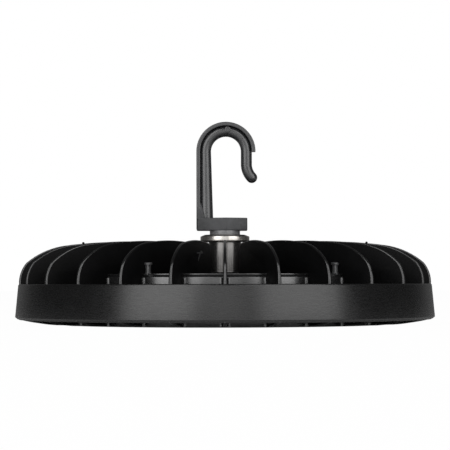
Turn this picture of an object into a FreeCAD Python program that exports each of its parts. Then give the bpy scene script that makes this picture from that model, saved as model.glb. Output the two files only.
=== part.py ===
"""High bay light: a die-cast LED drum with radial fins, a skirt ring and a cast hanging hook.

Millimetres, +Z up. The origin is on the vertical axis, in the plane that the light stands on.
The front of the hook faces -Y and its throat opens towards +X.
"""
import FreeCAD, Part
import math
import os

V = FreeCAD.Vector
UP = V(0, 0, 1)
FRONT = -90.0                      # azimuth of the front, degrees from +X

# ---- heat sink: drum -------------------------------------------------------------------
drum_r = 136.0
drum_wall = 3.5
drum_h = 40.2                      # top face of the drum's plate
plate_t = 3.5
rim_edge_h = 37.6                  # where the wall ends and the shoulder starts
shoulder_w = 3.6
edge_break = 0.6
seat_z = 14.5                      # step in the wall that the LED plate seats on
seat_w = 3.5

# ---- heat sink: fins and skirt ---------------------------------------------------------
fin_count = 26
fin_inner_r = 51.0
fin_inner_h = 55.0                 # height of the straight inner edge
fin_corner = 10.5
crown_h = 66.0
crown_r = 97.0                     # radius at which the crown is highest
crown_end_r = 126.0
crown_end_drop = 2.0
shoulder_r = 147.0
shoulder_drop = 7.4
cheek_r = 161.0
cheek_drop = 16.3
fin_top_t = 1.6
fin_mid_t = 3.1
fin_bottom_t = 2.8
root_flare = 2.6
skirt_r = 170.0
skirt_top_r = 167.5
skirt_top_h = 32.5
skirt_foot_h = 6.0
skirt_wall = 3.0
lip_h = 4.0
fin_foot_r = 166.9                 # outer edge of the fins where they enter the skirt
belly_w = 6.0                      # flat underside of the fins, outwards from the drum
belly_h = 0.2

# ---- heat sink: boss, posts, pips, inner pillars ---------------------------------------
boss_r = 11.85
boss_h = 66.6
boss_foot = 2.0
boss_pad_r = 15.0
boss_pad_t = 3.0
post_r = 1.7
post_h = 8.5
post_head_r = 2.75
post_head_t = 2.0
post_inset = 6.0                   # from the drum's side to the posts
post_half_angle = 33.25
post_turn = 6.85
post_pairs = 3
pip_r = 1.1
pip_h = 1.1
pip_sink = 1.5
pip_drop = 1.1                     # of the crown at the pips
pip_circle_r = 120.0
pip_fins = (5, -5)
tick_fin = -1
tick_r = 85.0
tick_h = 56.0
tick_len = 5.0

# ---- hook, collar, flange, bolt --------------------------------------------------------
flange_r = 20.0
flange_t = 5.8
flange_land_t = 2.6                # cylinder at the rim, between the two cones
flange_cone_r = 15.0
collar_r = 12.3
collar_t = 3.4
collar_break = 0.4
hook_base_t = 10.0
hook_base_left = 23.0
hook_base_right = 18.3
hook_base_depth = 24.0
hook_base_end_depth = 13.0
hook_base_peak_x = 1.2
hook_base_break = 1.6
eye_x = 0.95
eye_above_base = 54.6
eye_r = 12.2
hook_bar_d = 9.0
shank_foot_d = 9.8                 # the shank thickens towards the base
hook_rail_t = 3.2
hook_rail_depth = 11.6
hook_drop = 10.4                   # straight length of bar below the rail's free end
tip_side = 4.35
tip_drop = 10.8
foot_rise = 7.5
foot_spread = 3.2
pad_r = 2.4
bolt_d = 10.0
bolt_fit = 0.25
bolt_bite = 8.0
bolt_head_r = 8.0
bolt_head_t = 6.4
bolt_socket_r = 4.0
bolt_socket_depth = 3.2
washer_r = 10.5
washer_t = 2.0
seal_in_r = 7.0
seal_out_r = 10.4
seal_t = 1.5

# ---- light engine ----------------------------------------------------------------------
plate_fit = 0.5
led_plate_t = 4.0
feed_r = 8.0
board_r = 110.0
board_t = 1.6
board_hole_r = 9.6
led_ring_radii = (32.0, 62.0, 92.0)
led_ring_counts = (6, 12, 18)
led_side = 5.0
led_t = 0.7
lens_t = 2.5
lens_gap = 3.0                     # LED plate to lens plate, the thickness of the gasket
dome_r = 9.0
dome_h = 4.0
gasket_w = 3.6
frame_fit = 0.5
frame_band_w = 8.0                 # outer band of the frame, which the screws go through
frame_lip_w = 9.5                  # how far the frame reaches in under the lens plate
frame_lip_t = 2.2
frame_foot = 0.6                   # height of the frame's face above the standing plane
plate_screw_inset = 17.0           # from the recess to the screws
plate_screw_count = 6
plate_screw_turn = 30.0
frame_screw_count = 8
frame_screw_turn = 22.5
frame_pillar_h = 10.0
m4_r = 2.0
m4_head_r = 3.5
m4_head_t = 2.2
m3_r = 1.5
m3_head_r = 2.8
m3_head_t = 2.0
screw_fit = 0.2
screw_bite = 8.0
pillar_r = 4.5
board_screw_circle_r = 104.0
board_screw_count = 6
board_screw_bite = 2.4

# ---- driver ----------------------------------------------------------------------------
driver_length = 104.0
driver_depth = 62.0
driver_y = -61.0
driver_board_t = 1.6
standoff_t = 5.0
standoff_r = 4.0
standoff_inset = 6.0
cover_h = 14.4
cover_wall = 1.6
cover_bore_r = 3.2
cover_bore_depth = 7.0
transformer_x = -14.0
transformer_core = (24.0, 20.0, 11.0)
transformer_bobbin = (15.0, 27.0, 9.0)
choke_at = (30.0, 12.0)            # from the middle of the driver
choke_r = 8.0
choke_hole_r = 3.2
choke_h = 8.0
inductor_at = (12.0, -13.0)
inductor_r = 7.0
inductor_h = 9.0
capacitor_spots = ((-38.0, -3.0, 5.0), (31.0, -10.0, 6.0), (12.0, 14.0, 5.0))
capacitor_h = 11.0
transistor_at = (-35.0, 14.0)
transistor_tab = (16.0, 2.0, 11.0)
transistor_body = (10.0, 3.0, 8.0)
can_break = 0.6

# ---- mains entry -----------------------------------------------------------------------
gland_circle_r = 33.0              # the gland stands in the open middle, behind the boss
gland_turn = 180.0                 # from the front
vent_circle_r = 112.0
vent_bay = -10.5                   # fin bay of the vent, counted from the front
gland_thread_r = 8.0
gland_fit = 0.2
gland_flats = 19.0
gland_washer_r = 10.6
gland_washer_t = 1.0
gland_hex_t = 4.5
gland_neck_r = 7.2
gland_neck_h = 8.0
gland_bore_r = 6.2
gland_seal_bore_r = 4.4
cap_hole_play = 1.2
gland_seal_h = 10.0
gland_cap_r = 9.4
gland_cap_h = 12.0
gland_cap_gap = 0.6
cap_fit = 0.25
cap_top_t = 2.0
locknut_flats = 21.0
locknut_t = 4.0
gland_tail = 2.0
vent_thread_r = 6.0
vent_head_r = 8.5
vent_head_t = 4.0
terminal_size = (26.0, 14.0, 13.0)
terminal_x = 22.0
terminal_y = 84.0
terminal_bore_r = 1.9
earth_x = 74.0
earth_y = 52.0
earth_pad_t = 3.0

# ---- heights worked out from the sizes above -------------------------------------------
ceiling_z = drum_h - plate_t
flange_z = boss_h
collar_z = flange_z + flange_t
hook_z = collar_z + collar_t
base_top_z = hook_z + hook_base_t
eye_z = base_top_z + eye_above_base
led_plate_z = seat_z - led_plate_t
board_z = led_plate_z - board_t
lens_top_z = led_plate_z - lens_gap
lens_z = lens_top_z - lens_t
driver_board_z = ceiling_z - standoff_t - driver_board_t
recess_r = drum_r - drum_wall
bay_r = recess_r - seat_w
band_out_r = recess_r - plate_fit
band_in_r = band_out_r - frame_band_w
lens_r = band_in_r - frame_fit
frame_in_r = lens_r - frame_lip_w
frame_screw_circle_r = band_out_r - frame_band_w / 2
plate_screw_circle_r = recess_r - plate_screw_inset
post_circle_r = drum_r - post_inset
belly_r = drum_r + belly_w
pad_z = ceiling_z - boss_pad_t


# ---- helpers ---------------------------------------------------------------------------
def polar(radius, angle, z=0.0):
    a = math.radians(angle)
    return V(radius * math.cos(a), radius * math.sin(a), z)


def fin_angle(index):
    return FRONT + 360.0 * index / fin_count


def disc(radius, z0, z1, at=V(0, 0, 0)):
    return Part.makeCylinder(radius, z1 - z0, V(at.x, at.y, z0))


def ring(r_in, r_out, z0, z1, at=V(0, 0, 0)):
    return disc(r_out, z0, z1, at).cut(disc(r_in, z0 - 1, z1 + 1, at))


def turned(points):
    """Solid of revolution about Z from (radius, height) points."""
    corners = [V(r, 0, z) for r, z in points]
    face = Part.Face(Part.makePolygon(corners + corners[:1]))
    return face.revolve(V(0, 0, 0), UP, 360)


def block(x0, x1, y0, y1, z0, z1):
    return Part.makeBox(x1 - x0, y1 - y0, z1 - z0, V(x0, y0, z0))


def hexagon(flats, z0, z1, at):
    corner = flats / math.sqrt(3)
    points = [at + polar(corner, 60 * i, z0) for i in range(7)]
    return Part.Face(Part.makePolygon(points)).extrude(UP * (z1 - z0))


def polar_places(radius, count, turn=0.0):
    return [polar(radius, turn + 360.0 * i / count) for i in range(count)]


def spun(shape, angle):
    copy = shape.copy()
    copy.rotate(V(0, 0, 0), UP, angle)
    return copy


def group(shapes):
    return Part.makeCompound(shapes)


def pan_screw(at, seat_height, bite, shank_r, head_r, head_t):
    """Pan head screw driven upwards, its head against seat_height."""
    head = disc(head_r, seat_height - head_t, seat_height, at)
    return head.fuse(disc(shank_r, seat_height, seat_height + bite, at))


def on_level(edge, z):
    box = edge.BoundBox
    return abs(box.ZMin - z) < 1e-6 and abs(box.ZMax - z) < 1e-6 and edge.isClosed()


# ---- heat sink -------------------------------------------------------------------------
def drum():
    top_r = drum_r - shoulder_w
    shell = turned([
        (recess_r, 0), (drum_r, 0), (drum_r, rim_edge_h - edge_break), (drum_r - edge_break, rim_edge_h),
        (top_r, drum_h - edge_break), (top_r - edge_break, drum_h), (boss_r + boss_foot, drum_h),
        (boss_r, drum_h + boss_foot), (boss_r, boss_h - edge_break), (boss_r - edge_break, boss_h),
        (0, boss_h), (0, pad_z), (boss_pad_r, pad_z), (boss_pad_r, ceiling_z), (bay_r, ceiling_z),
        (bay_r, seat_z), (recess_r, seat_z)])
    return shell


def skirt():
    top_in = skirt_top_r - skirt_wall
    foot_in = skirt_r - skirt_wall
    return turned([
        (top_in, skirt_top_h), (skirt_top_r - edge_break, skirt_top_h),
        (skirt_top_r, skirt_top_h - edge_break), (skirt_r, skirt_foot_h),
        (skirt_r - 1.3, skirt_foot_h - 1.0), (skirt_r - 2.0, skirt_foot_h - 1.0),
        (skirt_r - 2.0, lip_h + edge_break), (skirt_r - 3.0, lip_h), (foot_in - 1.2, lip_h),
        (foot_in, skirt_foot_h)])


def fin():
    """One fin on the +X azimuth: outline in XZ, tapered in thickness from root to crown."""
    in_wall_r = drum_r - 0.4 * drum_wall
    in_plate_z = drum_h - 0.4 * plate_t
    in_skirt_top = V(fin_foot_r, 0, skirt_top_h - 0.5)
    in_skirt_foot = V(skirt_r - 0.5 * skirt_wall, 0, lip_h + edge_break)
    corner_top = V(fin_inner_r + fin_corner, 0, crown_h - 1.3)
    corner_mid = V(fin_inner_r + 0.26 * fin_corner, 0, crown_h - 1.3 - 0.33 * (corner_top.z - fin_inner_h))
    inner_top = V(fin_inner_r, 0, fin_inner_h)
    crown_end = V(crown_end_r, 0, crown_h - crown_end_drop)
    cheek = V(cheek_r, 0, crown_h - cheek_drop)
    cheek_low = V(fin_foot_r - 1.1, 0, skirt_top_h + 0.5 * (cheek.z - skirt_top_h))
    belly = V(belly_r, 0, belly_h)
    belly_mid = V(0.5 * (belly_r + in_skirt_foot.x), 0, 0.5 * (belly_h + in_skirt_foot.z) - 0.7)
    wall_foot = V(in_wall_r, 0, 0)
    edges = [
        Part.Arc(inner_top, corner_mid, corner_top).toShape(),
        Part.Arc(corner_top, V(crown_r, 0, crown_h), crown_end).toShape(),
        Part.Arc(crown_end, V(shoulder_r, 0, crown_h - shoulder_drop), cheek).toShape(),
        Part.Arc(cheek, cheek_low, in_skirt_top).toShape(),
        Part.makeLine(in_skirt_top, in_skirt_foot),
        Part.Arc(in_skirt_foot, belly_mid, belly).toShape(),
        Part.makeLine(belly, wall_foot),
        Part.makeLine(wall_foot, V(in_wall_r, 0, in_plate_z)),
        Part.makeLine(V(in_wall_r, 0, in_plate_z), V(fin_inner_r, 0, in_plate_z)),
        Part.makeLine(V(fin_inner_r, 0, in_plate_z), inner_top)]
    outline = Part.Face(Part.Wire(edges))
    outline.translate(V(0, -fin_mid_t, 0))
    slab = outline.extrude(V(0, 2 * fin_mid_t, 0))
    section = [
        (-fin_bottom_t / 2, -1.0), (fin_bottom_t / 2, -1.0), (fin_mid_t / 2, skirt_top_h),
        (fin_top_t / 2, crown_h + 1.0), (-fin_top_t / 2, crown_h + 1.0), (-fin_mid_t / 2, skirt_top_h)]
    corners = [V(fin_inner_r - 1, y, z) for y, z in section]
    wedge = Part.Face(Part.makePolygon(corners + corners[:1])).extrude(V(skirt_r, 0, 0))
    plate = slab.common(wedge)
    flare_plan = [
        V(in_wall_r, -fin_mid_t / 2 - root_flare, 0), V(drum_r + root_flare, -fin_mid_t / 2, 0),
        V(drum_r + root_flare, fin_mid_t / 2, 0), V(in_wall_r, fin_mid_t / 2 + root_flare, 0)]
    flare = Part.Face(Part.makePolygon(flare_plan + flare_plan[:1])).extrude(UP * (rim_edge_h - edge_break))
    return plate.fuse(flare)


def posts():
    angles = []
    for pair in range(post_pairs):
        middle = FRONT + post_turn + 360.0 * pair / post_pairs
        angles += [middle - post_half_angle, middle + post_half_angle]
    sink = 0.4 * plate_t
    top = drum_h + post_h
    stem = disc(post_r, drum_h - sink, top)
    head = disc(post_head_r, top - post_head_t, top)
    post = stem.fuse(head)
    found = []
    for angle in angles:
        copy = post.copy()
        copy.translate(polar(post_circle_r, angle))
        found.append(copy)
    return found


def pips():
    found = []
    for index in pip_fins:
        pip = Part.makeCone(pip_r, 0.6 * pip_r, pip_h + pip_sink, V(pip_circle_r, 0, crown_h - pip_drop - pip_sink))
        found.append(spun(pip, fin_angle(index)))
    return found


def tick():
    """Small witness mark of the ejector on one fin's face."""
    bar = block(tick_r - 2.4, tick_r + 2.4, -1.9, 0, tick_h - 0.6, tick_h + 0.4)
    stem = block(tick_r - 0.5, tick_r + 0.3, -1.9, 0, tick_h - tick_len, tick_h)
    return spun(bar.fuse(stem), fin_angle(tick_fin))


def pillar(at, r, z0, hole_r):
    """Cast pillar from the ceiling down to z0, with its screw hole."""
    body = disc(r, z0, ceiling_z + 0.5, at)
    hole = disc(hole_r, z0 - 1, min(z0 + screw_bite + 2, ceiling_z + 0.3), at)
    return body, hole


def driver_corners():
    dx = driver_length / 2 - standoff_inset
    dy = driver_depth / 2 - standoff_inset
    return [V(sx * dx, driver_y + sy * dy, 0) for sx in (-1, 1) for sy in (-1, 1)]


def gland_at():
    return polar(gland_circle_r, FRONT + gland_turn)


def vent_at():
    return polar(vent_circle_r, fin_angle(vent_bay))


def heat_sink():
    one_fin = fin()
    adds = [spun(one_fin, fin_angle(i)) for i in range(fin_count)]
    adds += [skirt()] + posts() + pips() + [tick()]
    holes = []
    for at in polar_places(plate_screw_circle_r, plate_screw_count, plate_screw_turn):
        body, hole = pillar(at, pillar_r, seat_z, m4_r + screw_fit / 2)
        adds.append(body)
        holes.append(hole)
    for at in polar_places(frame_screw_circle_r, frame_screw_count, frame_screw_turn):
        lug = disc(pillar_r, seat_z, ceiling_z + 0.5, at)
        adds.append(lug.common(disc(drum_r - 0.5, 0, drum_h)))
        holes.append(disc(m4_r + screw_fit / 2, seat_z - 1, seat_z + frame_pillar_h, at))
    for at in driver_corners():
        body, hole = pillar(at, standoff_r, ceiling_z - standoff_t, m3_r + screw_fit / 2)
        adds.append(body)
        holes.append(hole)
    earth_pad, earth_hole = pillar(V(earth_x, earth_y, 0), standoff_r, ceiling_z - earth_pad_t,
                                   m4_r + screw_fit / 2)
    adds.append(earth_pad)
    holes.append(earth_hole)
    holes.append(disc(bolt_d / 2 + bolt_fit, pad_z - 1, boss_h + 1))
    holes.append(ring(seal_in_r - 0.1, seal_out_r + 0.1, boss_h - seal_t, boss_h + 1))
    holes.append(disc(gland_thread_r + gland_fit, ceiling_z - 1, drum_h + 1, gland_at()))
    holes.append(disc(vent_thread_r + gland_fit, ceiling_z - 1, drum_h + 1, vent_at()))
    solid = drum().fuse(adds)
    return solid.cut(holes).removeSplitter()


# ---- hook and its joint to the boss ----------------------------------------------------
def hanging_hook():
    bar_r = hook_bar_d / 2
    mean_r = eye_r + bar_r
    rail_in = eye_r + hook_bar_d - 0.3
    rail_out = rail_in + hook_rail_t
    half = hook_base_depth / 2
    end_half = hook_base_end_depth / 2
    plan = [
        V(-hook_base_left, -end_half, 0), V(hook_base_peak_x, -half, 0), V(hook_base_right, -end_half, 0),
        V(hook_base_right, end_half, 0), V(hook_base_peak_x, half, 0), V(-hook_base_left, end_half, 0)]
    base = Part.Face(Part.makePolygon(plan + plan[:1])).extrude(UP * hook_base_t)
    base.translate(V(0, 0, hook_z))
    ends = [e for e in base.Edges if on_end_corner(e)]
    base = base.makeChamfer(hook_base_break, ends)
    centre = V(eye_x, 0, eye_z)
    across = V(0, 1, 0)
    shank_x = eye_x - mean_r
    shank = Part.makeCone(shank_foot_d / 2, bar_r, eye_z - hook_z - 1, V(shank_x, 0, hook_z + 1))
    section = Part.Face(Part.Wire(Part.makeCircle(bar_r, V(shank_x, 0, eye_z), UP)))
    bend = section.revolve(centre, across, 180)
    nose_x = eye_x + mean_r
    nose = disc(bar_r, eye_z - hook_drop, eye_z, V(nose_x, 0, 0))
    curl_angle = 2 * math.degrees(math.atan2(tip_side, tip_drop))
    curl_r = tip_drop / math.sin(math.radians(curl_angle))
    nose_end = Part.Face(Part.Wire(Part.makeCircle(bar_r, V(nose_x, 0, eye_z - hook_drop), UP)))
    curl = nose_end.revolve(V(nose_x + curl_r, 0, eye_z - hook_drop), V(0, -1, 0), curl_angle)
    tip = Part.makeSphere(bar_r, V(nose_x + tip_side, 0, eye_z - hook_drop - tip_drop))
    rail_half = hook_rail_depth / 2
    arch = Part.makeCylinder(rail_out, hook_rail_depth, V(eye_x, -rail_half, eye_z), across)
    arch = arch.cut(Part.makeCylinder(rail_in, hook_rail_depth + 2, V(eye_x, -rail_half - 1, eye_z), across))
    arch = arch.common(block(eye_x - rail_out - 1, eye_x + rail_out + 1, -half, half, eye_z, eye_z + 2 * rail_out))
    strip = block(eye_x - rail_out, eye_x - rail_in, -rail_half, rail_half, hook_z + hook_base_break, eye_z)
    foot_profile = [
        V(0, -bar_r + 0.6, base_top_z + foot_rise), V(0, bar_r - 0.6, base_top_z + foot_rise),
        V(0, bar_r + foot_spread, base_top_z - 1), V(0, -bar_r - foot_spread, base_top_z - 1)]
    foot = Part.Face(Part.makePolygon(foot_profile + foot_profile[:1])).extrude(V(hook_bar_d - 0.6, 0, 0))
    foot.translate(V(eye_x - rail_in, 0, 0))
    pad = Part.makeCylinder(pad_r, 0.8, V(eye_x + 1.5, -bar_r - 0.35, eye_z + eye_r + 0.6 * bar_r), across)
    solid = base.fuse([shank, bend, nose, curl, tip, arch, strip, foot, pad])
    thread = disc(bolt_d / 2 + 0.1, hook_z - 1, hook_z + bolt_bite + 0.4)
    return solid.cut(thread).removeSplitter()


def on_end_corner(edge):
    """Vertical and lower edges at the two ends of the hook's base."""
    box = edge.BoundBox
    upright = box.ZLength > 0.5 * hook_base_t and abs(box.XMin - hook_base_peak_x) > 1.0
    low_end = box.ZMax < hook_z + 0.01 and box.XLength < 0.01
    return upright or low_end


def hook_collar():
    bore = bolt_d / 2 + bolt_fit
    return turned([
        (bore, collar_z), (collar_r - collar_break, collar_z), (collar_r, collar_z + collar_break),
        (collar_r, hook_z), (bore, hook_z)])


def hub_flange():
    bore = bolt_d / 2 + bolt_fit
    cone_h = (flange_t - flange_land_t) / 2
    return turned([
        (bore, flange_z), (flange_cone_r, flange_z), (flange_r, flange_z + cone_h),
        (flange_r, collar_z - cone_h), (flange_cone_r, collar_z), (bore, collar_z)])


def hub_seal():
    return ring(seal_in_r, seal_out_r, boss_h - seal_t, boss_h)


def hook_bolt():
    head_top = pad_z - washer_t
    head = disc(bolt_head_r, head_top - bolt_head_t, head_top)
    socket = hexagon(2 * bolt_socket_r, head_top - bolt_head_t - 1,
                     head_top - bolt_head_t + bolt_socket_depth, V(0, 0, 0))
    return head.cut(socket).fuse(disc(bolt_d / 2, head_top, hook_z + bolt_bite)).removeSplitter()


def hook_bolt_washer():
    return ring(bolt_d / 2 + bolt_fit, washer_r, pad_z - washer_t, pad_z)


# ---- light engine ----------------------------------------------------------------------
def plate_screw_places():
    return polar_places(plate_screw_circle_r, plate_screw_count, plate_screw_turn)


def frame_screw_places():
    return polar_places(frame_screw_circle_r, frame_screw_count, frame_screw_turn)


def board_screw_places():
    return polar_places(board_screw_circle_r, board_screw_count)


def led_places():
    found = []
    for radius, count in zip(led_ring_radii, led_ring_counts):
        for i in range(count):
            found.append((radius, 360.0 * (i + 0.5) / count))
    return found


def led_plate():
    holes = [disc(m4_r + screw_fit, led_plate_z - 1, seat_z + 1, at)
             for at in plate_screw_places() + frame_screw_places()]
    holes += [disc(m3_r + 0.05, led_plate_z - 1, led_plate_z + board_screw_bite + 0.2, at)
              for at in board_screw_places()]
    holes.append(disc(feed_r, led_plate_z - 1, seat_z + 1))
    return disc(recess_r - plate_fit, led_plate_z, seat_z).cut(holes)


def led_plate_screws():
    return group([pan_screw(at, led_plate_z, led_plate_t + screw_bite, m4_r, m4_head_r, m4_head_t)
                  for at in plate_screw_places()])


def led_board():
    holes = [disc(m3_r + screw_fit, board_z - 1, led_plate_z + 1, at) for at in board_screw_places()]
    return ring(board_hole_r, board_r, board_z, led_plate_z).cut(holes)


def led_board_screws():
    return group([pan_screw(at, board_z, board_t + board_screw_bite, m3_r, m3_head_r, 0.5 * m3_head_t)
                  for at in board_screw_places()])


def led_chips():
    half = led_side / 2
    found = []
    for radius, angle in led_places():
        found.append(spun(block(radius - half, radius + half, -half, half, board_z - led_t, board_z), angle))
    return group(found)


def led_feed_connector():
    body = disc(feed_r - screw_fit, board_z, seat_z + 2.4)
    collar = disc(feed_r + 2.0, seat_z, seat_z + 1.4)
    pins = [disc(1.3, seat_z, seat_z + 3.4, V(x, 0, 0)) for x in (-3.2, 3.2)]
    return body.fuse(collar).cut(pins).removeSplitter()


def lens_plate():
    sphere_r = (dome_r * dome_r + dome_h * dome_h) / (2 * dome_h)
    cap = Part.makeSphere(sphere_r, V(0, 0, lens_z - dome_h + sphere_r))
    cap = cap.common(disc(dome_r + 1, lens_z - dome_h - 1, lens_z + 0.4))
    domes = []
    for radius, angle in led_places():
        dome = cap.copy()
        dome.translate(polar(radius, angle))
        domes.append(dome)
    return disc(lens_r, lens_z, lens_top_z).fuse(domes)


def lens_gasket():
    return ring(lens_r - gasket_w, lens_r, lens_top_z, led_plate_z)


def lens_frame():
    body = turned([
        (band_in_r, led_plate_z), (band_in_r, lens_z), (frame_in_r, lens_z),
        (frame_in_r, lens_z - 0.4 * frame_lip_t), (frame_in_r + 0.6 * frame_lip_t, lens_z - frame_lip_t),
        (band_in_r - frame_lip_t, lens_z - frame_lip_t), (band_in_r, frame_foot), (band_out_r, frame_foot),
        (band_out_r, led_plate_z)])
    seat = frame_foot + m4_head_t + 0.4
    for at in frame_screw_places():
        body = body.cut(disc(m4_head_r + screw_fit, frame_foot - 1, seat, at))
        body = body.cut(disc(m4_r + screw_fit, frame_foot, led_plate_z + 1, at))
    return body


def lens_frame_screws():
    seat = frame_foot + m4_head_t + 0.4
    bite = seat_z - seat + screw_bite
    return group([pan_screw(at, seat, bite, m4_r, m4_head_r, m4_head_t) for at in frame_screw_places()])


# ---- driver ----------------------------------------------------------------------------
def driver_board():
    x = driver_length / 2
    y = driver_depth / 2
    plate = block(-x, x, driver_y - y, driver_y + y, driver_board_z, driver_board_z + driver_board_t)
    holes = [disc(m3_r + screw_fit, driver_board_z - 1, driver_board_z + 3, at) for at in driver_corners()]
    return plate.cut(holes)


def cover_z():
    return driver_board_z - cover_h


def driver_cover():
    x = driver_length / 2
    y = driver_depth / 2
    z0 = cover_z()
    shell = block(-x, x, driver_y - y, driver_y + y, z0, driver_board_z)
    inside = block(-x + cover_wall, x - cover_wall, driver_y - y + cover_wall, driver_y + y - cover_wall,
                   z0 + cover_wall, driver_board_z + 1)
    columns = [disc(cover_bore_r + cover_wall, z0, driver_board_z, at) for at in driver_corners()]
    bores = [disc(cover_bore_r, z0 - 1, z0 + cover_bore_depth, at) for at in driver_corners()]
    bores += [disc(m3_r + screw_fit, z0, driver_board_z + 1, at) for at in driver_corners()]
    return shell.cut(inside).fuse(columns).cut(bores).removeSplitter()


def driver_screws():
    seat = cover_z() + cover_bore_depth
    bite = cover_h - cover_bore_depth + driver_board_t + standoff_t - 1.0
    return group([pan_screw(at, seat, bite, m3_r, m3_head_r, m3_head_t) for at in driver_corners()])


def hung_block(x, y, size):
    """Block under the driver's board, its place counted from the driver's middle."""
    dx, dy, dz = size
    y = driver_y + y
    return block(x - dx / 2, x + dx / 2, y - dy / 2, y + dy / 2, driver_board_z - dz, driver_board_z)


def hung_can(x, y, r, h):
    can = disc(r, driver_board_z - h, driver_board_z, V(x, driver_y + y, 0))
    return can.makeChamfer(can_break, [e for e in can.Edges if on_level(e, driver_board_z - h)])


def driver_transformer():
    core = hung_block(transformer_x, 0, transformer_core)
    bobbin = hung_block(transformer_x, 0, transformer_bobbin)
    return core.fuse(bobbin).removeSplitter()


def driver_choke():
    x, y = choke_at
    return ring(choke_hole_r, choke_r, driver_board_z - choke_h, driver_board_z, V(x, driver_y + y, 0))


def driver_inductor():
    x, y = inductor_at
    return hung_can(x, y, inductor_r, inductor_h)


def driver_capacitors():
    return group([hung_can(x, y, r, capacitor_h) for x, y, r in capacitor_spots])


def driver_transistor():
    x, y = transistor_at
    tab = hung_block(x, y, transistor_tab)
    body = hung_block(x, y - (transistor_tab[1] + transistor_body[1]) / 2, transistor_body)
    return tab.fuse(body).removeSplitter()


# ---- mains entry -----------------------------------------------------------------------
def gland_washer():
    return ring(gland_thread_r + gland_fit, gland_washer_r, drum_h, drum_h + gland_washer_t, gland_at())


def gland_body():
    at = gland_at()
    foot = drum_h + gland_washer_t
    nut = hexagon(gland_flats, foot, foot + gland_hex_t, at)
    thread = disc(gland_thread_r, ceiling_z - locknut_t - gland_tail, foot, at)
    neck = disc(gland_neck_r, foot, foot + gland_hex_t + gland_neck_h, at)
    bore = disc(gland_bore_r, ceiling_z - 3 * locknut_t, foot + 3 * gland_neck_h, at)
    return nut.fuse([thread, neck]).cut(bore).removeSplitter()


def gland_top_z():
    return drum_h + gland_washer_t + gland_hex_t + gland_cap_gap + gland_cap_h


def gland_seal():
    top = gland_top_z() - cap_top_t
    return ring(gland_seal_bore_r, gland_bore_r - 0.1, top - gland_seal_h, top, gland_at())


def gland_cap():
    at = gland_at()
    foot = gland_top_z() - gland_cap_h
    shell = disc(gland_cap_r, foot, gland_top_z(), at)
    shell = shell.makeChamfer(1.6, [e for e in shell.Edges if on_level(e, gland_top_z())])
    pocket = disc(gland_neck_r + cap_fit, foot - 1, gland_top_z() - cap_top_t, at)
    hole = disc(gland_seal_bore_r + cap_hole_play, foot, gland_top_z() + 1, at)
    return shell.cut([pocket, hole])


def gland_locknut():
    body = hexagon(locknut_flats, ceiling_z - locknut_t, ceiling_z, gland_at())
    return body.cut(disc(gland_thread_r + 0.05, 0, drum_h, gland_at()))


def breather_vent():
    at = vent_at()
    head = disc(vent_head_r, drum_h, drum_h + vent_head_t, at)
    head = head.makeChamfer(0.8, [e for e in head.Edges if on_level(e, drum_h + vent_head_t)])
    stem = disc(vent_thread_r, ceiling_z - 4, drum_h, at)
    hole = disc(0.5 * vent_thread_r, ceiling_z - 5, drum_h + 1, at)
    slots = [block(-vent_head_r, vent_head_r, -0.7, 0.7, drum_h + 1.4, drum_h + 2.6)]
    slots += [spun(slots[0], 60 * i) for i in (1, 2)]
    for slot in slots:
        slot.translate(at)
    return head.fuse(stem).cut([hole] + slots).removeSplitter()


def terminal_block():
    dx, dy, dz = terminal_size
    body = block(terminal_x - dx / 2, terminal_x + dx / 2, terminal_y - dy / 2, terminal_y + dy / 2,
                 ceiling_z - dz, ceiling_z)
    bores = []
    for i in (-1, 0, 1):
        x = terminal_x + i * dx / 3.2
        bores.append(Part.makeCylinder(terminal_bore_r, dy + 2, V(x, terminal_y - dy / 2 - 1, ceiling_z - dz / 2),
                                       V(0, 1, 0)))
        bores.append(disc(terminal_bore_r, ceiling_z - dz - 1, ceiling_z - dz / 2, V(x, terminal_y, 0)))
    return body.cut(bores)


def earth_screw():
    at = V(earth_x, earth_y, 0)
    return pan_screw(at, ceiling_z - earth_pad_t, earth_pad_t, m4_r, m4_head_r, m4_head_t)


NODES = {
    "heat_sink": heat_sink,
    "hanging_hook": hanging_hook,
    "hook_collar": hook_collar,
    "hub_flange": hub_flange,
    "hub_seal": hub_seal,
    "hook_bolt": hook_bolt,
    "hook_bolt_washer": hook_bolt_washer,
    "led_plate": led_plate,
    "led_plate_screws": led_plate_screws,
    "led_board": led_board,
    "led_board_screws": led_board_screws,
    "led_chips": led_chips,
    "led_feed_connector": led_feed_connector,
    "lens_plate": lens_plate,
    "lens_gasket": lens_gasket,
    "lens_frame": lens_frame,
    "lens_frame_screws": lens_frame_screws,
    "driver_board": driver_board,
    "driver_cover": driver_cover,
    "driver_screws": driver_screws,
    "driver_transformer": driver_transformer,
    "driver_choke": driver_choke,
    "driver_inductor": driver_inductor,
    "driver_capacitors": driver_capacitors,
    "driver_transistor": driver_transistor,
    "terminal_block": terminal_block,
    "earth_screw": earth_screw,
    "gland_washer": gland_washer,
    "gland_body": gland_body,
    "gland_seal": gland_seal,
    "gland_cap": gland_cap,
    "gland_locknut": gland_locknut,
    "breather_vent": breather_vent,
}

os.makedirs("parts", exist_ok=True)
for name, make in NODES.items():
    shape = make()
    print(name, shape.isValid(), len(shape.Solids), round(shape.Volume))
    shape.exportStep("parts/" + name + ".step")
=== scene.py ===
"""Looks of the high bay light: camera, studio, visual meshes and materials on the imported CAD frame.

Metres, +Z up, the CAD frame: the front faces -Y and the hook's throat opens towards +X.
"""
import math

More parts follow.
